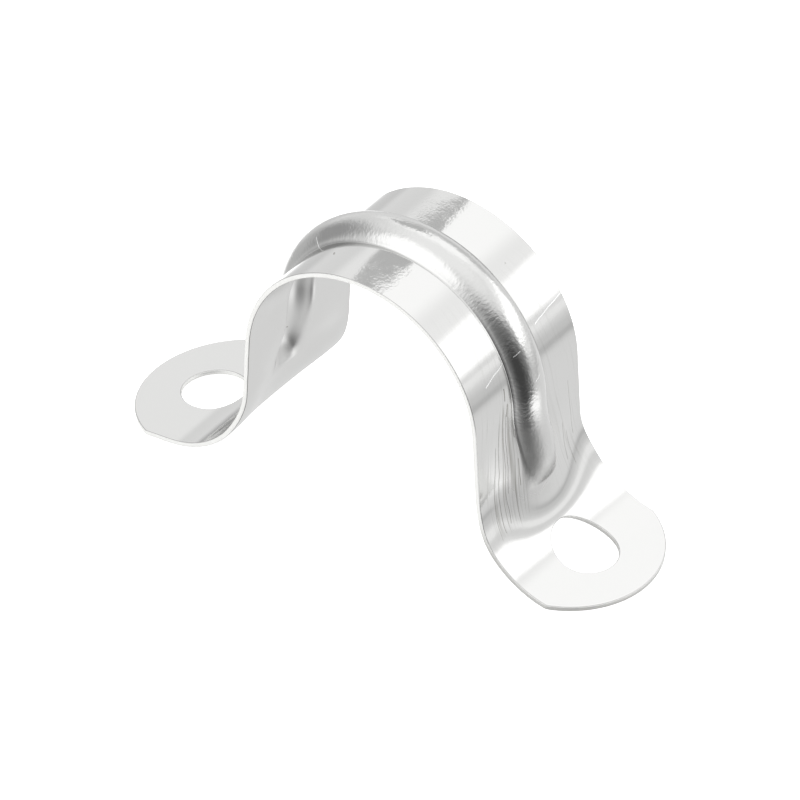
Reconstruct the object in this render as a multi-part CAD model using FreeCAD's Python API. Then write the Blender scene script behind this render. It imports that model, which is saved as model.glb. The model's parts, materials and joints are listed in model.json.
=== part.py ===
"""Two-hole conduit strap, pressed from one strip of thin stainless sheet.

Frame, in millimetres: the wall is the plane z = 0, and the origin is the middle of the strap's length on
it. The conduit runs along Y, the strap's length lies along X, and +Z points away from the wall.
"""
import FreeCAD, Part
import math
import os

# the strip
sheet_thickness = 0.5
strap_length = 56.5
foot_width = 17.5
arch_width = 16.4
end_bulge = 5.4
corner_radius = 0.5

# the arch, which was bent a little to one side of the strip's middle
conduit_diameter = 25.0
conduit_clearance = 0.1
crown_clearance = 27.9
leg_splay = 3.1
arch_shift = 1.55

# the feet, which slope down to their tips until a screw draws them flat
foot_bend_radius = 9.2
foot_dip = 5.1
flare_height = 5.8

# the screw holes
hole_diameter = 6.4
hole_spacing = 42.3

# the stiffening rib, pressed outwards along the arch, which runs out down both legs
rib_height = 1.65
rib_width = 4.8
rib_past_leg = 4.4
rib_end_narrowing = 0.4

# the low swell that the rib's end raises across each leg and the top of its foot bend
swell_height = 1.3
swell_width = 16.0
swell_top_past_leg = 2.1
swell_past_leg = 8.5

# the steps along each leg and along both shaped parts of its bend, and across one stretch of a section
leg_steps = 6
rib_end_steps = 5
swell_end_steps = 5
stretch_steps = 4

# distances measured to the middle of the sheet's thickness
half_sheet = sheet_thickness / 2
arch_radius = conduit_diameter / 2 + conduit_clearance + half_sheet
bend_radius = foot_bend_radius + half_sheet
leg_angle = math.radians(90 - leg_splay)
foot_angle = math.radians(foot_dip)
crown_top = crown_clearance + half_sheet

# the raw strip is this much wider than the feet on each side before its outline is cut
trim_margin = 1.0
raw_half_width = foot_width / 2 + trim_margin
above_all = crown_top + rib_height + sheet_thickness + trim_margin

# the rib's section is an arc over its crown and an arc at each root, which meet at the flank's angle; a root
# turns round the sharp line where the rib's outer side meets the flange, and has this share of both radii
rib_half_width = rib_width / 2
rib_flank_angle = 2 * math.atan2(rib_height, rib_half_width)
rib_root_share = half_sheet * math.sin(rib_flank_angle) / rib_half_width
swell_half_width = swell_width / 2


class Station:
    """A place on the strip's middle line: its point in the XZ plane and the lean of its outward normal."""

    def __init__(self, x, z, angle):
        self.x = x
        self.z = z
        self.angle = angle

    def point(self, across, outward):
        """The point that lies across the strip and outward of its middle line by these distances."""
        x = self.x + outward * math.sin(self.angle)
        z = self.z + outward * math.cos(self.angle)
        return FreeCAD.Vector(x, across, z)

    def along(self, distance):
        """The station that lies straight on, down the strip, by this distance."""
        x = self.x + distance * math.cos(self.angle)
        z = self.z - distance * math.sin(self.angle)
        return Station(x, z, self.angle)

    def around(self, radius, angle):
        """The station where an arc of this radius reaches the angle; the arc bends in where radius > 0."""
        x = self.x + radius * (math.sin(angle) - math.sin(self.angle))
        z = self.z + radius * (math.cos(angle) - math.cos(self.angle))
        return Station(x, z, angle)


def stretches(height, half_width, swell):
    """The rib's crown, its root and the flange beside it, from the middle out: across, lift and lean."""
    shares = [i / stretch_steps for i in range(stretch_steps + 1)]
    if height > 0:
        flank = 2 * math.atan2(height, half_width)
        both = half_width / math.sin(flank)
        root = both * rib_root_share
        crown = both - root
        over = [(crown * math.sin(flank * share), height - crown + crown * math.cos(flank * share),
                 flank * share) for share in shares]
        beside = [(half_width - root * math.sin(flank * share), root - root * math.cos(flank * share),
                   flank * share) for share in reversed(shares)]
    else:
        turn = half_width * (1 - rib_root_share)
        over = [(turn * share, 0.0, 0.0) for share in shares]
        beside = [(turn + (half_width - turn) * share, 0.0, 0.0) for share in shares]
    flange = [(half_width + (raw_half_width - half_width) * share, 0.0, 0.0) for share in shares]

    def swollen(across, lift, lean):
        """The same spot once the swell has lifted and tilted it."""
        out = math.pi * min(across / swell_half_width, 1)
        slope = math.tan(lean) + swell * math.pi / 2 / swell_half_width * math.sin(out)
        return across, lift + swell * (1 + math.cos(out)) / 2, math.atan(slope)

    return [[swollen(*spot) for spot in part] for part in (over, beside, flange)]


def skin(station, height, half_width, swell, offset):
    """The edges of one side of the sheet across the strip, whose outer side has a corner at each root."""

    def placed(spots, side):
        return [station.point(side * (across + offset * math.sin(lean)), lift + offset * math.cos(lean))
                for across, lift, lean in spots]

    def edge(points, is_arc):
        if swell > 0:
            curve = Part.BSplineCurve()
            curve.interpolate(Points=points, Parameters=[float(i) for i in range(len(points))])
            return curve.toShape()
        if is_arc:
            return Part.Arc(points[0], points[len(points) // 2], points[-1]).toShape()
        return Part.makeLine(points[0], points[-1])

    over, beside, flange = stretches(height, half_width, swell)
    is_ribbed = height > 0
    crown = placed(over[:0:-1], -1) + placed(over, 1)
    left = placed(flange, -1)
    right = placed(flange, 1)
    if offset > 0:
        crown[0] = left[0]
        crown[-1] = right[0]
        roots = []
    else:
        roots = [edge(placed(beside, side), is_ribbed) for side in (-1, 1)]
    return [edge(crown, is_ribbed)] + roots + [edge(left, False), edge(right, False)]


def section(station, rib=1.0, swell=0.0):
    """The sheet's closed outline across the strip, with the rib and the swell at these shares."""
    height = rib_height * rib
    half_width = rib_half_width * (1 - rib_end_narrowing * (1 - rib))
    outer = skin(station, height, half_width, swell_height * swell, half_sheet)
    inner = skin(station, height, half_width, swell_height * swell, -half_sheet)
    edge = raw_half_width
    near = Part.makeLine(station.point(-edge, -half_sheet), station.point(-edge, half_sheet))
    far = Part.makeLine(station.point(edge, -half_sheet), station.point(edge, half_sheet))
    return Part.Wire(Part.__sortEdges__(outer + inner + [near, far]))


def bent(wire, station, radius, end_angle):
    """The sheet between this station and the end of the arc that starts there."""
    centre = station.point(0.0, -radius)
    turn = math.degrees(end_angle - station.angle)
    return Part.Face(wire).revolve(centre, FreeCAD.Vector(0, 1, 0), turn)


def straight(wire, station, distance):
    """The sheet between this station and the one straight on by this distance."""
    return Part.Face(wire).extrude(station.along(distance).point(0, 0) - station.point(0, 0))


def eased(share):
    """Eases from 0 to 1 between the ends, with no slope at either."""
    return 0.5 - 0.5 * math.cos(math.pi * min(max(share, 0.0), 1.0))


def evenly(start, end, count):
    """The ends and the even steps between them."""
    return [start + (end - start) * i / count for i in range(count + 1)]


def half_strap(reach):
    """The pieces of half the strap, from the crown to a foot tip this far from the arch's middle."""
    crown = Station(0.0, crown_top, 0.0)
    leg = crown.around(arch_radius, leg_angle)
    bend_rise = bend_radius * (math.cos(foot_angle) - math.cos(leg_angle))
    bend_run = bend_radius * (math.sin(leg_angle) - math.sin(foot_angle))
    tip_height = half_sheet * math.cos(foot_angle)
    slope = math.tan(foot_angle)
    drop = leg.z - bend_rise - tip_height - (reach - leg.x - bend_run) * slope
    leg_length = drop / (math.sin(leg_angle) - math.cos(leg_angle) * slope)
    bend = leg.along(leg_length)
    foot = bend.around(-bend_radius, foot_angle)

    rib_end = leg_length + rib_past_leg
    swell_top = leg_length + swell_top_past_leg
    swell_end = leg_length + swell_past_leg

    def station_at(distance):
        """The station this far below the arch's end, on the leg or round the bend."""
        if distance < leg_length:
            return leg.along(distance)
        return bend.around(-bend_radius, leg_angle - (distance - leg_length) / bend_radius)

    def section_at(distance):
        """The sheet's outline there, where the rib runs out and the swell rises and falls again."""
        rib = max(1 - (distance / rib_end) ** 2, 0.0)
        rise = eased(distance / swell_top)
        fall = eased((swell_end - distance) / (swell_end - swell_top))
        swell = rise if distance < swell_top else fall
        return section(station_at(distance), rib, swell)

    def shaped(start, end, count):
        """The sheet between these distances below the arch's end."""
        return Part.makeLoft([section_at(distance) for distance in evenly(start, end, count)], True, False)

    plain = station_at(swell_end)
    pieces = [
        bent(section(crown), crown, arch_radius, leg_angle),
        shaped(0.0, leg_length, leg_steps),
        shaped(leg_length, rib_end, rib_end_steps),
        shaped(rib_end, swell_end, swell_end_steps),
        bent(section(plain, 0.0), plain, -bend_radius, foot_angle),
        straight(section(foot, 0.0), foot, reach - foot.x + trim_margin),
    ]
    return pieces, bend


def plan_outline():
    """The prism that cuts the strip's sides and its rounded ends, seen from above."""
    half_length = strap_length / 2
    half_width = foot_width / 2
    corner = half_length - end_bulge
    tip = FreeCAD.Vector(half_length, 0, 0)
    other_tip = FreeCAD.Vector(-half_length, 0, 0)
    corners = [FreeCAD.Vector(x, y, 0) for x, y in (
        (-corner, -half_width), (corner, -half_width), (corner, half_width), (-corner, half_width))]
    edges = [
        Part.makeLine(corners[0], corners[1]),
        Part.Arc(corners[1], tip, corners[2]).toShape(),
        Part.makeLine(corners[2], corners[3]),
        Part.Arc(corners[3], other_tip, corners[0]).toShape(),
    ]
    face = Part.Face(Part.Wire(edges))
    face.translate(FreeCAD.Vector(0, 0, -trim_margin))
    prism = face.extrude(FreeCAD.Vector(0, 0, above_all + trim_margin))
    upright = [edge for edge in prism.Edges if edge.BoundBox.ZLength > above_all]
    return prism.makeFillet(corner_radius, upright)


def side_outline(bend):
    """The prism that narrows the strip above its feet, seen along its length, for one half."""
    top = bend.z
    bottom = bend.z - flare_height
    low = -trim_margin
    wide = foot_width / 2
    narrow = arch_width / 2
    middle = FreeCAD.Vector(0, (wide + narrow) / 2, (top + bottom) / 2)
    step = (wide - narrow) / 2
    rise = (top - bottom) / 2
    bow = math.tan(math.atan2(step, rise) / 2)

    def between(start, end, inwards):
        """The middle point of an arc that leaves one of its ends along Z."""
        chord = end - start
        centre = (start + end) * 0.5
        sag = chord.Length / 2 * bow
        normal = FreeCAD.Vector(0, -chord.z, chord.y).normalize()
        return centre + normal * (sag * inwards)

    lower = FreeCAD.Vector(0, wide, bottom)
    upper = FreeCAD.Vector(0, narrow, top)
    curves = [
        Part.makeLine(FreeCAD.Vector(0, wide, low), lower),
        Part.Arc(lower, between(lower, middle, -1), middle).toShape(),
        Part.Arc(middle, between(middle, upper, 1), upper).toShape(),
        Part.makeLine(upper, FreeCAD.Vector(0, narrow, above_all)),
    ]
    mirrored = [curve.mirror(FreeCAD.Vector(0, 0, 0), FreeCAD.Vector(0, 1, 0)) for curve in curves]
    ends = [
        Part.makeLine(FreeCAD.Vector(0, -wide, low), FreeCAD.Vector(0, wide, low)),
        Part.makeLine(FreeCAD.Vector(0, -narrow, above_all), FreeCAD.Vector(0, narrow, above_all)),
    ]
    wire = Part.Wire(Part.__sortEdges__(curves + mirrored + ends))
    return Part.Face(wire).extrude(FreeCAD.Vector(strap_length, 0, 0))


def formed_half(reach):
    """One trimmed half of the strap, towards +X from the arch's middle plane."""
    pieces, bend = half_strap(reach)
    sheet = pieces[0].multiFuse(pieces[1:])
    return sheet.common(side_outline(bend))


def conduit_strap():
    """The whole strap as one solid."""
    half_length = strap_length / 2
    right = formed_half(half_length - arch_shift)
    left = formed_half(half_length + arch_shift).mirror(FreeCAD.Vector(0, 0, 0), FreeCAD.Vector(1, 0, 0))
    strap = right.fuse(left).removeSplitter()
    strap.translate(FreeCAD.Vector(arch_shift, 0, 0))
    strap = strap.common(plan_outline())
    for side in (-1, 1):
        centre = FreeCAD.Vector(side * hole_spacing / 2, 0, -trim_margin)
        strap = strap.cut(Part.makeCylinder(hole_diameter / 2, above_all + trim_margin, centre))
    return strap


strap = conduit_strap()
print("valid", strap.isValid(), "solids", len(strap.Solids), "faces", len(strap.Faces),
      "volume", round(strap.Volume, 2), "box", strap.BoundBox)
os.makedirs("parts", exist_ok=True)
strap.Solids[0].exportStep("parts/strap.step")
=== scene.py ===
"""The looks of the conduit strap: a dressed sheet-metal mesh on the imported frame, in metres."""
import json
import math
from types import SimpleNamespace

import bpy
import numpy as np
from mathutils import Matrix, Vector, geometry


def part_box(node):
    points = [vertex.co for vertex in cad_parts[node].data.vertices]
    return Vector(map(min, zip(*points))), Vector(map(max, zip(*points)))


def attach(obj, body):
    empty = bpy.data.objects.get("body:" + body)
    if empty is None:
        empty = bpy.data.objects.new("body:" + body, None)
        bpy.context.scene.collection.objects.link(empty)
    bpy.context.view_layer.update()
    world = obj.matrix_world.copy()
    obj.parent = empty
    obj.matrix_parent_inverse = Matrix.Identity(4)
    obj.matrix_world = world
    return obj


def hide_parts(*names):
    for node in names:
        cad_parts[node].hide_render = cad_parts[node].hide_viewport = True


MM = 0.001

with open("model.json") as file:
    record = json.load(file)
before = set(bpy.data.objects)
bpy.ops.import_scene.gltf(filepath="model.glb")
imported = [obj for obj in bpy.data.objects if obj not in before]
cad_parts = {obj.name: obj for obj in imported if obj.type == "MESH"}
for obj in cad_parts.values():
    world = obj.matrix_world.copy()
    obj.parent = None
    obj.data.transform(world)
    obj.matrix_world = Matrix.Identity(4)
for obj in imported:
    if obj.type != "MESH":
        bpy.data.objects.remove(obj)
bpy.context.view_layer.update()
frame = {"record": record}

# the strap's sizes in millimetres; those that a mount or the strap's box gives are read from the frame
mounts = {mount["name"]: mount for mount in frame["record"]["mounts"]}
seat = mounts["conduit_seat"]
holes = mounts["screw_holes"]
strap_low, strap_high = (np.array(corner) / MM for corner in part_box("strap"))
seat_radius = seat["dims"]["r_mm"]
seat_height = seat["pos_m"][2] / MM
arch_shift = seat["pos_m"][0] / MM
arch_width = seat["dims"]["length_mm"]
hole_radius = holes["dims"]["hole_r_mm"]
hole_reach = holes["dims"]["spacing_x_mm"] / 2
half_foot = (strap_high[1] - strap_low[1]) / 2
# the tips stop a little inside the box, because the outer skin of a dipped foot leans out past its middle
tip_inset = 0.03
half_length = (strap_high[0] - strap_low[0]) / 2 - tip_inset
sheet_thickness = 0.5
leg_splay = math.radians(3.1)
foot_dip = math.radians(5.1)
foot_bend_radius = 9.2
end_bulge = 5.39
corner_radius = 0.5
flare_height = 5.8
edge_rounding = 0.09

# the rib, how it sinks and widens towards its end, and the swell that its end raises; what lies past the
# leg is measured from its lower end, and a higher end power makes a blunter end
rib_height = strap_high[2] - seat_height - seat_radius - sheet_thickness
rib_half_width = 2.4
rib_root_radius = 0.15
rib_past_leg = 2.9
rib_run_out_loss = 0.45
rib_end_power = 7
rib_end_widening = 0.5
rib_end_root_share = 0.7
rib_end_easing = 0.09
least_rib_height = 1e-6
swell_height = 1.3
swell_half_width = 8.0
swell_top_past_leg = 2.1
swell_past_leg = 8.5

# how finely the mesh follows the shape
rim_step = 0.3
rim_turns = np.radians([18, 36, 54, 72, 90])
rim_gap = 0.15
corner_steps = 6
grid_step = 0.35
rib_row_count = 61
toe_reach = 2.0
toe_step = 0.1
slope_step = 0.01
same_point = 1e-6

half_sheet = sheet_thickness / 2
arch_radius = seat_radius + half_sheet
crown_top = seat_height + arch_radius
bend_radius = foot_bend_radius + half_sheet
leg_angle = math.pi / 2 - leg_splay
arch_length = arch_radius * leg_angle
bend_length = bend_radius * (leg_angle - foot_dip)
rib_flank_angle = 2 * math.atan2(rib_height, rib_half_width)
rib_root_share = (rib_root_radius + half_sheet) * math.sin(rib_flank_angle) / rib_half_width


# A place on the strip is (s, y): s runs along it from the crown, and y across it. Over the whole strap s
# is negative on the left, and within one side it is the plain distance from the crown.
class Side:
    """One half of the strap's middle line, run from the crown down the leg and out along the foot."""

    def __init__(self, direction):
        reach = half_length - direction * arch_shift
        slope = math.tan(foot_dip)
        leg_x = arch_radius * math.sin(leg_angle)
        leg_z = crown_top - arch_radius * (1 - math.cos(leg_angle))
        rise = bend_radius * (math.cos(foot_dip) - math.cos(leg_angle))
        run = bend_radius * (math.sin(leg_angle) - math.sin(foot_dip))
        # the leg is as long as it must be for the foot's tip to stand on the wall
        drop = leg_z - rise - half_sheet * math.cos(foot_dip) - (reach - leg_x - run) * slope
        self.leg_length = drop / (math.sin(leg_angle) - math.cos(leg_angle) * slope)
        self.bend_start = (
            leg_x + self.leg_length * math.cos(leg_angle),
            leg_z - self.leg_length * math.sin(leg_angle),
        )
        self.foot_start = (self.bend_start[0] + run, self.bend_start[1] - rise)
        self.bend_at = arch_length + self.leg_length
        self.foot_at = self.bend_at + bend_length
        self.tip_at = self.foot_at + (reach - self.foot_start[0]) / math.cos(foot_dip)

    def line(self, s):
        """x, z and the normal's lean at these distances from the crown, on this side taken as +x."""
        lean = np.clip(s / arch_radius, 0, leg_angle)
        x = arch_radius * np.sin(lean)
        z = crown_top - arch_radius * (1 - np.cos(lean))
        leg = np.clip(s - arch_length, 0, self.leg_length)
        x = x + leg * math.cos(leg_angle)
        z = z - leg * math.sin(leg_angle)
        turned = np.clip((s - self.bend_at) / bend_radius, 0, leg_angle - foot_dip)
        bend = leg_angle - turned
        x = x + bend_radius * (math.sin(leg_angle) - np.sin(bend))
        z = z - bend_radius * (np.cos(bend) - math.cos(leg_angle))
        foot = np.maximum(s - self.foot_at, 0)
        x = x + foot * math.cos(foot_dip)
        z = z - foot * math.sin(foot_dip)
        return x, z, lean - turned

    def at_reach(self, x):
        """The distance from the crown at which the foot or its bend reaches x."""
        sine = np.clip(math.sin(leg_angle) - (x - self.bend_start[0]) / bend_radius, -1, 1)
        on_bend = self.bend_at + bend_radius * (leg_angle - np.arcsin(sine))
        on_foot = self.foot_at + (x - self.foot_start[0]) / math.cos(foot_dip)
        return np.where(x > self.foot_start[0], on_foot, on_bend)


sides = {1: Side(1), -1: Side(-1)}


def smooth(share):
    """Eases from 0 to 1 with no slope at either end."""
    return 0.5 - 0.5 * np.cos(math.pi * np.clip(share, 0, 1))


def smoother(share):
    """Eases from 0 to 1 with no slope and no bend at either end."""
    held = np.clip(share, 0, 1)
    return held ** 3 * (10 - 15 * held + 6 * held ** 2)


def rib_lift(side, s, y):
    """How far the rib lifts the sheet: an arc over its crown, and one at each root that grows at its end."""
    run_out = side.leg_length + rib_past_leg
    gone = np.clip((s - arch_length) / run_out, 0, 1)
    lowered = rib_run_out_loss * gone ** 2
    share = (1 - lowered) * (1 - gone ** rib_end_power)
    easing = rib_end_easing
    eased = np.where(share < 2 * easing, share ** 2 / (4 * easing), share - easing)
    share = eased / (1 - easing)
    height = np.maximum(rib_height * share, least_rib_height)
    half_width = rib_half_width * (1 + rib_end_widening * lowered)
    flank = 2 * np.arctan2(height, half_width)
    arcs = half_width / np.sin(flank)
    root = arcs * (rib_root_share + (rib_end_root_share - rib_root_share) * (1 - share))
    crown = arcs - root
    off = np.abs(y)
    over = height - crown + np.sqrt(np.maximum(crown ** 2 - off ** 2, 0))
    beside = root - np.sqrt(np.maximum(root ** 2 - (half_width - off) ** 2, 0))
    lifted = np.where(off < crown * np.sin(flank), over, beside)
    return np.where(off < half_width, lifted, 0.0)


def swell_lift(side, s, y):
    """The low swell that the rib's end raises across the leg and the top of the bend."""
    below = s - arch_length
    top = side.leg_length + swell_top_past_leg
    end = side.leg_length + swell_past_leg
    rise = smoother(below / top)
    fall = smooth((end - below) / (end - top))
    across = np.cos(np.clip(y / swell_half_width, -1, 1) * math.pi / 2) ** 2
    return swell_height * np.where(below < top, rise, fall) * across


def middle(s, y):
    """Points of the sheet's middle surface, in millimetres."""
    points = np.zeros((len(s), 3))
    for direction, side in sides.items():
        pick = s * direction >= 0
        away = np.abs(s[pick])
        x, z, lean = side.line(away)
        lift = rib_lift(side, away, y[pick]) + swell_lift(side, away, y[pick])
        points[pick, 0] = arch_shift + direction * (x + lift * np.sin(lean))
        points[pick, 1] = y[pick]
        points[pick, 2] = z + lift * np.cos(lean)
    return points


def normals(s, y):
    """Outward unit normals of the middle surface."""
    along = middle(s + slope_step, y) - middle(s - slope_step, y)
    across = middle(s, y + slope_step) - middle(s, y - slope_step)
    cross = np.cross(along, across)
    return cross / np.linalg.norm(cross, axis=1)[:, None]


def half_width_at(side, s):
    """The strip's half width before its ends are rounded: two equal arcs widen it below the legs."""
    z = side.line(s)[1]
    top = side.bend_start[1]
    step = (half_foot - arch_width / 2) / 2
    rise = flare_height / 2
    radius = (step ** 2 + rise ** 2) / (2 * step)
    fall = np.clip(top - z, 0, flare_height)
    first = radius - np.sqrt(radius ** 2 - np.minimum(fall, rise) ** 2)
    last = radius - np.sqrt(radius ** 2 - np.minimum(flare_height - fall, rise) ** 2)
    return arch_width / 2 + np.where(fall < rise, first, 2 * step - last)


def end_outline():
    """Half of a foot's end in plan, as (x, y) from its tip round to its side."""
    end_radius = (half_foot ** 2 + end_bulge ** 2) / (2 * end_bulge)
    centre = half_length - end_radius
    # the corner where the side meets the end's arc is rounded by a small arc, tangent to both
    reach = end_radius - corner_radius
    inset = half_foot - corner_radius
    corner_centre = np.array([centre + math.sqrt(reach ** 2 - inset ** 2), inset])
    meet = math.atan2(inset, corner_centre[0] - centre)
    steps = np.linspace(0, meet, int(end_radius * meet / rim_step) + 2)
    end_arc = [(centre + end_radius * math.cos(a), end_radius * math.sin(a)) for a in steps]
    turns = np.linspace(meet, math.pi / 2, corner_steps + 1)[1:]
    corner = [tuple(corner_centre + corner_radius * np.array([math.cos(a), math.sin(a)])) for a in turns]
    return np.array(end_arc + corner)


def outline(direction):
    """One side's outline in (s, y), from the crown's far edge round the tip and back to its near edge."""
    side = sides[direction]
    plan = end_outline()
    s = side.at_reach(plan[:, 0] - direction * arch_shift)
    round_end = np.column_stack([s, plan[:, 1]])
    run = np.linspace(s[-1], 0, int(s[-1] / rim_step) + 2)[1:]
    straight = np.column_stack([run, half_width_at(side, run)])
    far = np.vstack([round_end, straight])[::-1]
    near = (far * [1, -1])[::-1][1:]
    return np.vstack([far, near])


def hole_outline(direction):
    """A screw hole's rim in (s, y): a round hole, drilled square to the wall."""
    side = sides[direction]
    count = int(2 * math.pi * hole_radius / rim_step)
    turns = np.linspace(0, 2 * math.pi, count, endpoint=False)
    s = side.at_reach(hole_reach - direction * arch_shift + hole_radius * np.cos(turns))
    return np.column_stack([s, hole_radius * np.sin(turns)])


def area(loop):
    """The area that a closed loop holds, which is negative where it runs clockwise."""
    x, y = loop[:, 0], loop[:, 1]
    return 0.5 * np.sum(x * np.roll(y, -1) - y * np.roll(x, -1))


def metal_loops():
    """The outline and the two holes' rims in (s, y), each run so that the metal is on its left."""
    right = outline(1)
    left = outline(-1) * [-1, 1]
    loops = [np.vstack([right[:-1], left[::-1][:-1]])]
    loops += [hole_outline(direction) * [direction, 1] for direction in (1, -1)]
    for number, loop in enumerate(loops):
        anticlockwise = area(loop) > 0
        is_outline = number == 0
        if anticlockwise != is_outline:
            loops[number] = loop[::-1]
    return loops


def outward(loop):
    """Unit normals in (s, y) that point away from the metal, at each point of a loop."""
    tangent = np.roll(loop, -1, axis=0) - np.roll(loop, 1, axis=0)
    tangent /= np.linalg.norm(tangent, axis=1)[:, None]
    return np.column_stack([tangent[:, 1], -tangent[:, 0]])


def inside(points, loop):
    """Which points lie inside a closed loop, by counting the edges that a ray crosses."""
    x, y = points[:, 0][:, None], points[:, 1][:, None]
    x0, y0 = loop[:, 0][None], loop[:, 1][None]
    x1, y1 = np.roll(loop[:, 0], -1)[None], np.roll(loop[:, 1], -1)[None]
    spans = (y0 > y) != (y1 > y)
    with np.errstate(divide="ignore", invalid="ignore"):
        crosses = x < (x1 - x0) * (y - y0) / (y1 - y0) + x0
    return (spans & crosses).sum(axis=1) % 2 == 1


def on_metal(points, loops):
    """Which points lie within the outline and outside the holes."""
    found = inside(points, loops[0])
    for loop in loops[1:]:
        found &= ~inside(points, loop)
    return found


def clear_of(points, loop):
    """Which points keep their gap from every corner of a loop."""
    gap = np.full(len(points), np.inf)
    for corner in loop:
        gap = np.minimum(gap, np.linalg.norm(points - corner, axis=1))
    return gap > rim_gap


def sheet_grid():
    """Points in rows over the whole strip, closer over the rib and round its toes."""
    tip = max(side.tip_at for side in sides.values())
    along = np.arange(-tip, tip, grid_step)
    for direction, side in sides.items():
        toe = direction * (side.bend_at + rib_past_leg)
        along = along[np.abs(along - toe) > toe_reach + toe_step]
        along = np.concatenate([along, np.arange(toe - toe_reach, toe + toe_reach, toe_step)])
    widest_rib = rib_half_width * (1 + rib_end_widening * rib_run_out_loss)
    rib_rows = np.linspace(-widest_rib, widest_rib, rib_row_count)
    flange_rows = np.arange(widest_rib + grid_step, half_foot, grid_step)
    across = np.concatenate([-flange_rows[::-1], rib_rows, flange_rows])
    return np.array([(s, y) for s in along for y in across])


def flat_sheet(loops):
    """The strip laid flat: its points in (s, y), its triangles, and the points on each loop."""
    grid = sheet_grid()
    keep = on_metal(grid, loops)
    for loop in loops:
        keep &= clear_of(grid, loop)
    starts = np.cumsum([0] + [len(loop) for loop in loops])
    rings = [range(first, last) for first, last in zip(starts, starts[1:])]
    edges = [(int(a), int(b)) for ring in rings for a, b in zip(ring, np.roll(ring, -1))]
    given = [Vector(p) for p in np.vstack(loops + [grid[keep]])]
    found, _, triangles, sources = geometry.delaunay_2d_cdt(given, edges, [], 1, same_point)[:4]
    flat = np.array([tuple(v) for v in found])
    triangles = np.array(triangles)
    triangles = triangles[on_metal(flat[triangles].mean(axis=1), loops)]
    a, b, c = (flat[triangles[:, k]] for k in range(3))
    clockwise = (b[:, 0] - a[:, 0]) * (c[:, 1] - a[:, 1]) - (b[:, 1] - a[:, 1]) * (c[:, 0] - a[:, 0]) < 0
    triangles[clockwise] = triangles[clockwise][:, ::-1]
    place_of = {source[0]: place for place, source in enumerate(sources) if source}
    return flat, triangles, [np.array([place_of[number] for number in ring]) for ring in rings]


def rim_rows(loop, out):
    """The rows of points that turn an edge over, from the outer skin to the inner one."""
    s, y = loop[:, 0], loop[:, 1]
    base = middle(s, y)
    facing = normals(s, y)
    beyond = middle(s + out[:, 0] * slope_step, y + out[:, 1] * slope_step) - base
    sideways = beyond / np.linalg.norm(beyond, axis=1)[:, None]
    rows = []
    steps = [(turn, 1) for turn in rim_turns] + [(turn, -1) for turn in rim_turns[::-1]]
    for turn, skin_side in steps:
        drawn_in = edge_rounding * (1 - math.sin(turn))
        raised = (half_sheet - edge_rounding * (1 - math.cos(turn))) * skin_side
        skin = math.cos(turn) * skin_side
        places = base - sideways * drawn_in + facing * raised
        rows.append((places, sideways * math.sin(turn) + facing * skin, loop, skin))
    return rows


def band(upper, lower):
    """The four-sided faces between two rows of points that run round the same loop."""
    corners = zip(upper, lower, np.roll(lower, -1), np.roll(upper, -1))
    return [tuple(int(number) for number in face) for face in corners]


def strap_mesh():
    """The whole strap as one closed mesh: two skins and a rounded rim round the outline and the holes."""
    loops = metal_loops()
    outs = [outward(loop) for loop in loops]
    flat, triangles, rings = flat_sheet([loop - out * edge_rounding for loop, out in zip(loops, outs)])
    base = middle(flat[:, 0], flat[:, 1])
    facing = normals(flat[:, 0], flat[:, 1])
    count = len(flat)
    # each row is its points, their shading normals, their (s, y), and 1 on the outer skin to -1 on the inner
    rows = [(base + facing * half_sheet, facing, flat, 1), (base - facing * half_sheet, -facing, flat, -1)]
    faces = [tuple(int(number) for number in face) for face in triangles]
    faces += [tuple(int(number) + count for number in face[::-1]) for face in triangles]
    made = 2 * count
    for loop, out, ring in zip(loops, outs, rings):
        previous = ring
        for row in rim_rows(loop, out):
            rows.append(row)
            current = np.arange(len(loop)) + made
            faces += band(previous, current)
            made += len(loop)
            previous = current
        faces += band(previous, ring + count)

    places, shading, strip = (np.vstack([row[k] for row in rows]) for k in range(3))
    skin = np.concatenate([np.full(len(row[0]), float(row[3])) for row in rows])
    mesh = bpy.data.meshes.new("strap_dressed")
    mesh.from_pydata([tuple(v) for v in places * MM], [], faces)
    mesh.validate()
    mesh.shade_smooth()
    mesh.normals_split_custom_set_from_vertices([tuple(n) for n in shading])
    attribute = mesh.attributes.new("strip_place", "FLOAT_VECTOR", "POINT")
    attribute.data.foreach_set("vector", np.column_stack([strip, skin]).ravel())
    return mesh


strap = bpy.data.objects.new("strap_sheet", strap_mesh())
bpy.context.collection.objects.link(strap)
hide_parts("strap")
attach(strap, "root")


def linear(code):
    """An sRGB hex colour as linear red, green, blue and alpha."""
    channels = [int(code[place:place + 2], 16) / 255 for place in (1, 3, 5)]
    return tuple(c / 12.92 if c <= 0.04045 else ((c + 0.055) / 1.055) ** 2.4 for c in channels) + (1.0,)


# Inputs are given by name or number. A Map Range node reads from input 1 to 2 and gives 3 to 4, and a Mix
# node mixes inputs 2 and 3, or 6 and 7 where they are colours.
def add(tree, kind, settings, links):
    """Adds a node, sets its properties and unlinked inputs, and joins its linked inputs."""
    node = tree.nodes.new(kind)
    for name, value in settings.items():
        if isinstance(name, int) or name in node.inputs:
            node.inputs[name].default_value = value
        else:
            setattr(node, name, value)
    for name, source in links.items():
        tree.links.new(source.outputs[0] if hasattr(source, "outputs") else source, node.inputs[name])
    return node


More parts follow.
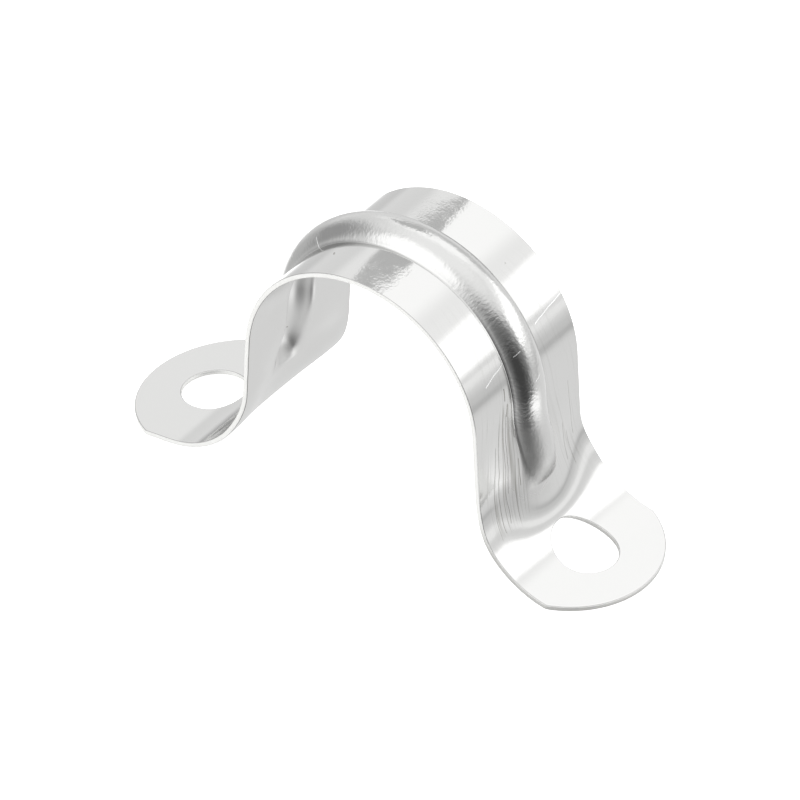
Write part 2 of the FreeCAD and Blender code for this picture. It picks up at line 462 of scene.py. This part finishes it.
# Bright annealed stainless steel, cold rolled and then pressed. The flanges keep the mill's mirror with
# a faint waviness, so that the room shows in them with nearly sharp edges. Where the dies stretched the
# metal, over the rib, at the crown and round the rib's end, its grain stands up as a fine orange peel
# that breaks those edges up. The dies drew dark lines down both legs, and handling left a few scratches.
steel_colour = linear("#cfcfce")
scored_colour = linear("#a3a29e")
speck_colour = linear("#6d6962")
scratch_colour = linear("#f6f6f6")
cut_edge_colour = linear("#e8e8e6")
# painted shade: the tint that darkens the inner half of the right foot's rim
rim_shade_colour = linear("#7b7a77")
# painted shade: a dark line along each edge where the rim turns from the skins
arris_shade_colour = linear("#5d5c5a")

# the mirror's roughness, how much it varies, and how much rougher each of these makes it
mirror_roughness = 0.09
roughness_range = 0.02
roughness_noise = (0.3, 0.7)
peel_dulling = 0.05
rib_foot_dulling = 0.34
line_dulling = 0.05
score_dulling = 0.1
cut_edge_dulling = 0.3
scratch_dulling = 0.4
inner_dulling = 0.22
cut_edge_metal_loss = 0.35

# Relief in millimetres, as the size of one grain or line and its depth. Real orange peel and drawing lines
# are about 0.1 mm across, too fine to show, so both are drawn about three times as coarse.
waviness = (3.5, 0.012)
orange_peel = (0.26, 0.03)
drawing_line = (0.34, 0.018)
cut_edge_grain = (0.22, 0.03)
scratch_depth = 0.006
# a drawing line lasts about 1 / line_fade mm, and drifts outwards by this share of its run
line_fade = 0.07
line_drift = 0.14
# slow unevenness of the mirror, and the wander that keeps marks from being ruler-straight
blotch_size = 1.6
wander_size = 2.5
wander_reach = 0.4
# the noise values between which the peel grows from its least to its full share, and a line's core starts
peel_noise = (0.35, 0.6)
least_peel = 0.3
peel_everywhere = 0.05
line_core_noise = (0.48, 0.34)
# a speck's edge and its full core are shares of its cell
speck_cell = 4.0
speck_radius = (0.028, 0.014)
speck_ink = 0.7

# zones of the strip in millimetres, as the range of s, the range of y, and how softly the edges fade
rib_zone = ((-14, 28.5), (-1, 2.0), 0.9)
near_crown_zone = ((-0.8, 3.2), (-9.5, -3.6), 0.8)
far_crown_zone = ((-2.5, 1.2), (2.5, 7.5), 0.8)
rib_foot_zone = ((21.0, 29.5), (-3.4, 1.2), 2.6)
near_line_zone = ((18.5, 31.0), (-6.9, -2.7), 0.7)
far_line_zone = ((22.0, 30.0), (3.8, 6.8), 1.0)
faint_line_zone = ((8.0, 32.0), (1.5, 8.8), 2.0)
far_line_share = 0.5
faint_line_share = 0.12

# how far an edge has turned over where each begins and where it is full: 1 is a flat skin, 0 mid-rim
cut_edge_turn = (0.85, 0.6)
arris_turn = (0.999, 0.97)
# the painted shade line at each arris is weaker on the outer side, and the rim's painted shade lies on its
# inner half
arris_side_fade = 0.5
outer_arris_share = 0.45
rim_shade_fade = 0.25
rim_shade_from = 28
rim_shade_to = 32

# the scratches that show best, as (s, y) in millimetres from one end to the other, and a half width;
# each is full out to the core's share of that half width and gone at the edge's
mark_core = 0.4
mark_edge = 1.3
bright_scratches = [
    (14.55, -2.3, 15.4, -5.4, 0.05),
    (14.2, -0.9, 14.4, -1.5, 0.04),
    (13.0, 8.0, 13.75, 3.4, 0.045),
    (-9.6, -1.5, -9.3, -2.3, 0.05),
    (16.9, 0.2, 17.3, -0.5, 0.03),
]
dark_scores = [
    (16.8, -3.25, 17.9, -3.45, 0.07),
    (18.4, -3.15, 19.6, -3.35, 0.09),
    (19.3, -3.5, 27.5, -4.5, 0.035),
    (20.5, -4.0, 30.5, -5.1, 0.03),
    (19.8, -4.6, 31.0, -6.1, 0.035),
    (22.0, -5.3, 31.5, -6.9, 0.03),
    (17.0, -2.5, 22.4, -2.6, 0.05),
    (21.8, -2.35, 24.2, -2.3, 0.06),
    (24.6, -2.75, 27.4, -3.0, 0.05),
    (25.2, 4.6, 29.2, 4.4, 0.035),
    (26.4, 5.2, 30.2, 5.5, 0.03),
    (21.5, 6.4, 27.5, 6.5, 0.03),
    (-5.6, -4.4, -5.4, -4.7, 0.1),
]


def zone(tree, s, y, extent):
    """A soft-edged rectangle of the strip: 1 inside it and 0 outside."""
    s_range, y_range, fade = extent
    steps = []
    for place, (low, high) in ((s, s_range), (y, y_range)):
        for edge, ends in ((low, {3: 0, 4: 1}), (high, {3: 1, 4: 0})):
            steps.append(add(tree, "ShaderNodeMapRange",
                             {"interpolation_type": "SMOOTHSTEP", 1: edge - fade, 2: edge + fade, **ends},
                             {0: place}))
    share = steps[0]
    for step in steps[1:]:
        share = add(tree, "ShaderNodeMath", {"operation": "MULTIPLY"}, {0: share, 1: step})
    return share


def stroke(tree, place, s_from, y_from, s_to, y_to, half_width):
    """One thin straight mark on the strip: 1 on it and 0 beside it."""
    start = Vector((s_from, y_from, 0))
    along = Vector((s_to, y_to, 0)) - start
    offset = add(tree, "ShaderNodeVectorMath", {"operation": "SUBTRACT", 1: start}, {0: place})
    share = add(tree, "ShaderNodeVectorMath", {"operation": "DOT_PRODUCT", 1: along / along.length_squared},
                {0: offset})
    held = add(tree, "ShaderNodeClamp", {}, {0: share.outputs["Value"]})
    foot = add(tree, "ShaderNodeVectorMath", {"operation": "SCALE", 0: along}, {3: held})
    gap = add(tree, "ShaderNodeVectorMath", {"operation": "DISTANCE"}, {0: offset, 1: foot})
    core = half_width * mark_core
    edge = half_width * mark_edge
    return add(tree, "ShaderNodeMapRange",
               {"interpolation_type": "SMOOTHSTEP", 1: core, 2: edge, 3: 1, 4: 0},
               {0: gap.outputs["Value"]})


def strokes(tree, strip, marks):
    """All the marks of a list, on the outer skin alone."""
    marked = [stroke(tree, strip.wandered, *mark) for mark in marks]
    cover = marked[0]
    for mark in marked[1:]:
        cover = add(tree, "ShaderNodeMath", {"operation": "MAXIMUM"}, {0: cover, 1: mark})
    return add(tree, "ShaderNodeMath", {"operation": "MULTIPLY"}, {0: cover, 1: strip.outer})


def strip_fields(tree):
    """What the finish is worked out from: the place on the strip, the skin, and two kinds of unevenness."""
    place = add(tree, "ShaderNodeAttribute", {"attribute_name": "strip_place"}, {}).outputs["Vector"]
    parts = add(tree, "ShaderNodeSeparateXYZ", {}, {0: place})
    s, y, skin = (parts.outputs[i] for i in range(3))
    flat = add(tree, "ShaderNodeCombineXYZ", {}, {0: s, 1: y})
    # marks are laid on a slightly warped strip, so that none is ruler-straight
    wander = add(tree, "ShaderNodeTexNoise", {"Scale": 1 / wander_size, "Detail": 1}, {"Vector": flat})
    centred = add(tree, "ShaderNodeVectorMath", {"operation": "SUBTRACT", 1: (0.5, 0.5, 0.5)},
                  {0: wander.outputs["Color"]})
    return SimpleNamespace(
        place=place, s=s, y=y, skin=skin, flat=flat,
        off_middle=add(tree, "ShaderNodeMath", {"operation": "ABSOLUTE"}, {0: y}),
        outer=add(tree, "ShaderNodeMath", {"operation": "GREATER_THAN", 1: 0}, {0: skin}),
        inner=add(tree, "ShaderNodeMath", {"operation": "LESS_THAN", 1: 0}, {0: skin}),
        wandered=add(tree, "ShaderNodeVectorMath",
                     {"operation": "MULTIPLY_ADD", 1: (wander_reach, wander_reach, 0)},
                     {0: centred, 2: flat}),
        blotch=add(tree, "ShaderNodeTexNoise", {"Scale": 1 / blotch_size, "Detail": 3}, {"Vector": flat}),
    )


def sheared_edge(tree, strip):
    """The sheared rim, painted shade on its inner half on the right foot, and painted shade lines at both
    its arrises.
    """
    off_skin = add(tree, "ShaderNodeMath", {"operation": "ABSOLUTE"}, {0: strip.skin})
    start, full = cut_edge_turn
    cut_edge = add(tree, "ShaderNodeMapRange", {1: start, 2: full, 3: 0, 4: 1}, {0: off_skin})
    start, full = arris_turn
    turned = add(tree, "ShaderNodeMapRange", {1: start, 2: full, 3: 0, 4: 1}, {0: off_skin})
    # painted shade: a dark line where the rim turns from each skin, weaker on the outer skin
    corner = add(tree, "ShaderNodeMath", {"operation": "SUBTRACT"}, {0: turned, 1: cut_edge})
    arris_side_weight = add(tree, "ShaderNodeMapRange", {1: -arris_side_fade, 2: arris_side_fade, 3: 1, 4: outer_arris_share},
               {0: strip.skin})
    arris_shade = add(tree, "ShaderNodeMath", {"operation": "MULTIPLY"}, {0: corner, 1: arris_side_weight})
    # painted shade on the right foot: the inner half of its rim is darkened
    right_foot = add(tree, "ShaderNodeMapRange", {1: rim_shade_from, 2: rim_shade_to, 3: 0, 4: 1}, {0: strip.s})
    inner_rim_half = add(tree, "ShaderNodeMapRange", {1: rim_shade_fade, 2: -rim_shade_fade, 3: 0, 4: 1}, {0: strip.skin})
    on_right = add(tree, "ShaderNodeMath", {"operation": "MULTIPLY"}, {0: cut_edge, 1: right_foot})
    rim_shade = add(tree, "ShaderNodeMath", {"operation": "MULTIPLY"}, {0: on_right, 1: inner_rim_half})
    return cut_edge, rim_shade, arris_shade


def stretched_metal(tree, strip):
    """Where the dies stretched the sheet, over the rib and at the crown, in patches."""
    over_rib = zone(tree, strip.s, strip.off_middle, rib_zone)
    near_crown = zone(tree, strip.s, strip.y, near_crown_zone)
    far_crown = zone(tree, strip.s, strip.y, far_crown_zone)
    crown = add(tree, "ShaderNodeMath", {"operation": "MAXIMUM"}, {0: near_crown, 1: far_crown})
    stretched = add(tree, "ShaderNodeMath", {"operation": "MAXIMUM"}, {0: over_rib, 1: crown})
    low, high = peel_noise
    uneven = add(tree, "ShaderNodeMapRange", {1: low, 2: high, 3: least_peel, 4: 1}, {0: strip.blotch})
    return add(tree, "ShaderNodeMath", {"operation": "MULTIPLY"}, {0: stretched, 1: uneven})


def drawing_lines(tree, strip):
    """The dies' lines, which run down the legs and drift outwards with the metal, and their strength."""
    drift = add(tree, "ShaderNodeMath", {"operation": "MULTIPLY", 1: -line_drift}, {0: strip.s})
    drifted = add(tree, "ShaderNodeMath", {"operation": "ADD"}, {0: strip.off_middle, 1: drift})
    parted = add(tree, "ShaderNodeSeparateXYZ", {}, {0: strip.wandered})
    width = drawing_line[0]
    slow_s = add(tree, "ShaderNodeMath", {"operation": "MULTIPLY", 1: line_fade * width}, {0: parted})
    line_place = add(tree, "ShaderNodeCombineXYZ", {}, {0: slow_s, 1: drifted, 2: strip.outer})
    lines = add(tree, "ShaderNodeTexNoise", {"Scale": 1 / width, "Detail": 2, "Roughness": 0.6},
                {"Vector": line_place})
    near = zone(tree, strip.s, strip.y, near_line_zone)
    far = zone(tree, strip.s, strip.y, far_line_zone)
    faint = zone(tree, strip.s, strip.off_middle, faint_line_zone)
    far_share = add(tree, "ShaderNodeMath", {"operation": "MULTIPLY", 1: far_line_share}, {0: far})
    faint_share = add(tree, "ShaderNodeMath", {"operation": "MULTIPLY", 1: faint_line_share}, {0: faint})
    drawn = add(tree, "ShaderNodeMath", {"operation": "MAXIMUM"}, {0: near, 1: far_share})
    share = add(tree, "ShaderNodeMath", {"operation": "MAXIMUM"}, {0: drawn, 1: faint_share})
    return lines, share


def dirt_specks(tree, strip):
    """Small specks of dirt: a cell has one only where its point happens to lie close to the sheet."""
    cells = add(tree, "ShaderNodeTexVoronoi", {"Scale": 1 / speck_cell}, {"Vector": strip.flat})
    edge, core = speck_radius
    return add(tree, "ShaderNodeMapRange", {1: edge, 2: core, 3: 0, 4: speck_ink},
               {0: cells.outputs["Distance"]})


def surface_height(tree, strip, grown, cut_edge, lines, line_share, cuts):
    """The height of the surface in millimetres."""
    peel_share = add(tree, "ShaderNodeMath", {"operation": "ADD", 1: peel_everywhere}, {0: grown})
    line_height = add(tree, "ShaderNodeMath", {"operation": "MULTIPLY"}, {0: lines, 1: line_share})
    terms = []
    for (size, depth), share in ((waviness, None), (orange_peel, peel_share), (cut_edge_grain, cut_edge)):
        noise = add(tree, "ShaderNodeTexNoise", {"Scale": 1 / size, "Detail": 2}, {"Vector": strip.place})
        scaled = add(tree, "ShaderNodeMath", {"operation": "MULTIPLY", 1: depth}, {0: noise})
        if share is not None:
            scaled = add(tree, "ShaderNodeMath", {"operation": "MULTIPLY"}, {0: scaled, 1: share})
        terms.append(scaled)
    height = terms[0]
    for term in terms[1:]:
        height = add(tree, "ShaderNodeMath", {"operation": "ADD"}, {0: height, 1: term})
    for marks, depth in ((line_height, drawing_line[1]), (cuts, -scratch_depth)):
        height = add(tree, "ShaderNodeMath", {"operation": "MULTIPLY_ADD", 1: depth}, {0: marks, 2: height})
    return height


def polished_stainless():
    """The strap's finish, put together from its place on the strip."""
    material = bpy.data.materials.new("polished_stainless")
    material.use_nodes = True
    tree = material.node_tree
    shader = tree.nodes["Principled BSDF"]
    strip = strip_fields(tree)
    cut_edge, rim_shade, arris_shade = sheared_edge(tree, strip)
    grown = stretched_metal(tree, strip)
    lines, line_share = drawing_lines(tree, strip)
    rib_foot = zone(tree, strip.s, strip.y, rib_foot_zone)
    bright = strokes(tree, strip, bright_scratches)
    dark = strokes(tree, strip, dark_scores)
    cuts = add(tree, "ShaderNodeMath", {"operation": "MAXIMUM"}, {0: bright, 1: dark})
    high, low = line_core_noise
    line_core = add(tree, "ShaderNodeMapRange", {1: high, 2: low, 3: 0, 4: 1}, {0: lines})
    dark_lines = add(tree, "ShaderNodeMath", {"operation": "MULTIPLY"}, {0: line_core, 1: line_share})
    scored = add(tree, "ShaderNodeMath", {"operation": "MAXIMUM"}, {0: dark_lines, 1: dark})
    speck = dirt_specks(tree, strip)
    height = surface_height(tree, strip, grown, cut_edge, lines, line_share, cuts)
    bump = add(tree, "ShaderNodeBump", {"Strength": 1, "Distance": MM}, {"Height": height})
    tree.links.new(bump.outputs[0], shader.inputs["Normal"])

    colour = add(tree, "ShaderNodeMix", {"data_type": "RGBA", 6: steel_colour, 7: scored_colour},
                 {0: scored})
    # the rim and arris tints are painted shade; the others are the metal's own colours and marks
    for share, tint in ((cut_edge, cut_edge_colour), (rim_shade, rim_shade_colour), (arris_shade, arris_shade_colour),
                        (speck, speck_colour), (bright, scratch_colour)):
        colour = add(tree, "ShaderNodeMix", {"data_type": "RGBA", 7: tint}, {0: share, 6: colour.outputs[2]})
    tree.links.new(colour.outputs[2], shader.inputs["Base Color"])

    smoothest = mirror_roughness - roughness_range
    roughest = mirror_roughness + roughness_range
    roughness = add(tree, "ShaderNodeMapRange",
                    {1: roughness_noise[0], 2: roughness_noise[1], 3: smoothest, 4: roughest},
                    {0: strip.blotch})
    for share, amount in ((grown, peel_dulling), (rib_foot, rib_foot_dulling), (line_share, line_dulling),
                          (scored, score_dulling), (cut_edge, cut_edge_dulling), (bright, scratch_dulling),
                          (strip.inner, inner_dulling)):
        roughness = add(tree, "ShaderNodeMath", {"operation": "MULTIPLY_ADD", 1: amount},
                        {0: share, 2: roughness})
    tree.links.new(roughness.outputs[0], shader.inputs["Roughness"])
    # the sheared edge is torn and grainy, so it takes light from all round
    metal = add(tree, "ShaderNodeMath", {"operation": "MULTIPLY_ADD", 1: -cut_edge_metal_loss, 2: 1},
                {0: cut_edge})
    tree.links.new(metal.outputs[0], shader.inputs["Metallic"])
    return material


strap.data.materials.append(polished_stainless())

# the floor is in metres
floor_half = 1.5
sweep_colour = linear("#f3f3f3")
sweep_roughness = 0.8
sweep_glow = 0.8


def white_sweep():
    """Matt white paper, lit from below as well, so that the strap stands on white with hardly a shadow."""
    paper = bpy.data.materials.new("white_sweep")
    paper.use_nodes = True
    shader = paper.node_tree.nodes["Principled BSDF"]
    shader.inputs["Base Color"].default_value = sweep_colour
    shader.inputs["Roughness"].default_value = sweep_roughness
    shader.inputs["Emission Color"].default_value = linear("#ffffff")
    shader.inputs["Emission Strength"].default_value = sweep_glow
    return paper


def rectangle(name, half_width, half_height):
    """A flat rectangle round its own middle, in metres, linked to the scene."""
    corners = [(-half_width, -half_height, 0), (half_width, -half_height, 0), (half_width, half_height, 0),
               (-half_width, half_height, 0)]
    mesh = bpy.data.meshes.new(name)
    mesh.from_pydata(corners, [], [(0, 1, 2, 3)])
    piece = bpy.data.objects.new(name, mesh)
    bpy.context.collection.objects.link(piece)
    return piece


floor = rectangle("floor", floor_half, floor_half)
floor.visible_glossy = False
floor.data.materials.append(white_sweep())


def facing_of(azimuth, elevation):
    """The direction towards this azimuth, counted from -Y to +X, and this elevation, in degrees."""
    turn, rise = math.radians(azimuth), math.radians(elevation)
    return Vector((math.sin(turn) * math.cos(rise), -math.cos(turn) * math.cos(rise), math.sin(rise)))


def facing_frame(azimuth, elevation):
    """The direction towards a place, with the sideways and upwards directions square to it."""
    out = facing_of(azimuth, elevation)
    sideways = facing_of(azimuth + 90, 0)
    return out, sideways, out.cross(sideways)


# what surrounds the strap, as soft-edged patches of a studio tent: azimuth and elevation of the
# middle, half width and half height in degrees, edge softness, and brightness there
tent_brightness = 1.0
tent = [
    ("ceiling", 0, 90, 40, 40, 0.5, 1.28),
    ("back_panel", -166, 53, 28, 17, 0.4, 1.5),
    ("left_panel", -20, 30, 26, 32, 0.3, 1.65),
    ("left_wall", -78, 6, 28, 27, 0.5, 0.45),
    ("left_wall_low", -96, -14, 22, 13, 0.6, 0.66),
    ("front_opening", 54, -8, 48, 40, 0.3, 0.3),
    ("opening_depth", 54, -12, 26, 24, 0.6, 0.08),
    ("right_panel", 133, 34, 30, 15, 0.5, 1.3),
    ("under_box", 131, -12, 26, 6, 0.5, 0.84),
    ("under_line", 134, -14, 26, 2, 0.6, 0.7),
    ("back_wall", -174, 22, 26, 9, 0.4, 0.8),
    ("back_left_panel", -136, 29, 10, 9, 0.5, 1.2),
    ("back_left_skirting", -131, -12, 24, 9, 0.5, 0.8),
    ("back_left_floor", -131, -34, 24, 10, 0.3, 1.45),
    ("under_frame", 131, 3, 26, 4.5, 0.5, 1.25),
    ("right_floor", 104, -35, 20, 9, 0.5, 1.6),
]


def patch_share(tree, heading, azimuth, elevation, half_width, half_height, softness):
    """A soft-edged oval patch of the tent: 1 inside it and 0 outside."""
    centre, sideways, upwards = facing_frame(azimuth, elevation)
    squares = []
    for axis, half in ((sideways, half_width), (upwards, half_height)):
        scaled = axis / math.sin(math.radians(half))
        offset = add(tree, "ShaderNodeVectorMath", {"operation": "DOT_PRODUCT", 1: scaled}, {0: heading})
        squares.append(add(tree, "ShaderNodeMath", {"operation": "MULTIPLY"},
                           {0: offset.outputs["Value"], 1: offset.outputs["Value"]}))
    total = add(tree, "ShaderNodeMath", {"operation": "ADD"}, {0: squares[0], 1: squares[1]})
    radius = add(tree, "ShaderNodeMath", {"operation": "SQRT"}, {0: total})
    oval = add(tree, "ShaderNodeMapRange",
               {"interpolation_type": "SMOOTHSTEP", 1: 1 - softness, 2: 1 + softness, 3: 1, 4: 0},
               {0: radius})
    # the same oval on the far side of the sky is left out
    ahead = add(tree, "ShaderNodeVectorMath", {"operation": "DOT_PRODUCT", 1: centre}, {0: heading})
    front = add(tree, "ShaderNodeMath", {"operation": "GREATER_THAN", 1: 0}, {0: ahead.outputs["Value"]})
    return add(tree, "ShaderNodeMath", {"operation": "MULTIPLY"}, {0: oval, 1: front})


def studio_tent():
    """The world round the strap: an evenly lit tent, on which each patch covers those before it."""
    world = bpy.data.worlds.new("studio")
    bpy.context.scene.world = world
    world.use_nodes = True
    tree = world.node_tree
    tree.nodes.clear()
    heading = add(tree, "ShaderNodeTexCoord", {}, {}).outputs["Generated"]
    covered = {}
    for name, azimuth, elevation, half_width, half_height, softness, brightness in tent:
        share = patch_share(tree, heading, azimuth, elevation, half_width, half_height, softness)
        level = add(tree, "ShaderNodeMix",
                    {"data_type": "FLOAT", "label": name, 2: tent_brightness, 3: brightness},
                    {0: share, **covered})
        covered = {2: level}
    background = add(tree, "ShaderNodeBackground", {0: linear("#ffffff")}, {1: level})
    add(tree, "ShaderNodeOutputWorld", {}, {0: background})


def card_cloth(name, half_width, half_height, softness, brightness):
    """Cloth that glows evenly and thins out to nothing, so that its edges show soft in the metal."""
    cloth = bpy.data.materials.new(name + "_cloth")
    cloth.use_nodes = True
    tree = cloth.node_tree
    tree.nodes.clear()
    local = add(tree, "ShaderNodeTexCoord", {}, {}).outputs["Object"]
    parts = add(tree, "ShaderNodeSeparateXYZ", {}, {0: local})
    fades = []
    for axis, half in ((0, half_width), (1, half_height)):
        off = add(tree, "ShaderNodeMath", {"operation": "ABSOLUTE"}, {0: parts.outputs[axis]})
        fades.append(add(tree, "ShaderNodeMapRange",
                         {"interpolation_type": "SMOOTHSTEP", 1: half * (1 - softness), 2: half, 3: 1, 4: 0},
                         {0: off}))
    cover = add(tree, "ShaderNodeMath", {"operation": "MULTIPLY"}, {0: fades[0], 1: fades[1]})
    clear = add(tree, "ShaderNodeBsdfTransparent", {}, {})
    lit = add(tree, "ShaderNodeEmission", {0: linear("#ffffff"), 1: brightness}, {})
    mixed = add(tree, "ShaderNodeMixShader", {}, {0: cover, 1: clear, 2: lit})
    add(tree, "ShaderNodeOutputMaterial", {}, {0: mixed})
    return cloth


def studio_card(name, aim, azimuth, elevation, distance, width, height, softness, brightness):
    """A lit or grey card that faces a point of the strap and shows only as a reflection. In millimetres."""
    card = rectangle(name, width / 2 * MM, height / 2 * MM)
    out, sideways, upwards = facing_frame(azimuth, elevation)
    turned = Matrix((sideways, upwards, out)).transposed()
    card.matrix_world = Matrix.Translation((Vector(aim) + out * distance) * MM) @ turned.to_4x4()
    card.visible_camera = False
    card.visible_diffuse = False
    card.visible_shadow = False
    card.data.materials.append(card_cloth(name, width / 2 * MM, height / 2 * MM, softness, brightness))


# each card near the strap: the point that it faces, the azimuth and elevation at which it stands from
# there, its distance, width and height, its edge softness, and its brightness
strap_middle = (0, 0, 15)
near_crown = (arch_shift, -3, crown_top + half_sheet)
left_bend = (-22, -6, 3)
cards = [
    ("right_box", strap_middle, 126, 24, 104, 132, 54, 0.25, 1.7),
    ("box_frame", strap_middle, 126, 8.6, 107, 132, 7, 0.7, 1.08),
    ("crown_card", near_crown, -147, 39, 40, 18, 18, 0.25, 0.7),
    ("left_foot_shade", left_bend, -133, -26, 18, 26, 18, 0.8, 0.35),
]

studio_tent()
for card in cards:
    studio_card(*card)
bpy.context.scene.view_settings.view_transform = "Standard"

# the camera looks at a point under the arch; its focal length is counted in the picture's pixels
focal_pixels = 10000
picture_width = 800
camera_sensor = 36
camera_yaw = math.radians(-35.431)
camera_pitch = math.radians(-52.626)
camera_roll = math.radians(0.123)
camera_distance = 928.953
look_at = (arch_shift - 1.298, 0, 9.305)


def place_camera():
    """The photo's view, through a long lens."""
    lens = bpy.data.cameras.new("camera")
    lens.sensor_width = camera_sensor
    lens.lens = camera_sensor * focal_pixels / picture_width
    turn = Matrix.Rotation(camera_roll, 3, "Z") @ Matrix.Rotation(camera_pitch, 3, "X")
    back = (turn @ Matrix.Rotation(camera_yaw, 3, "Z")).transposed()
    camera = bpy.data.objects.new("camera", lens)
    camera.location = Vector(look_at) * MM + back @ Vector((0, 0, camera_distance * MM))
    camera.rotation_mode = "QUATERNION"
    camera.rotation_quaternion = back.to_quaternion()
    bpy.context.collection.objects.link(camera)
    bpy.context.scene.camera = camera


place_camera()
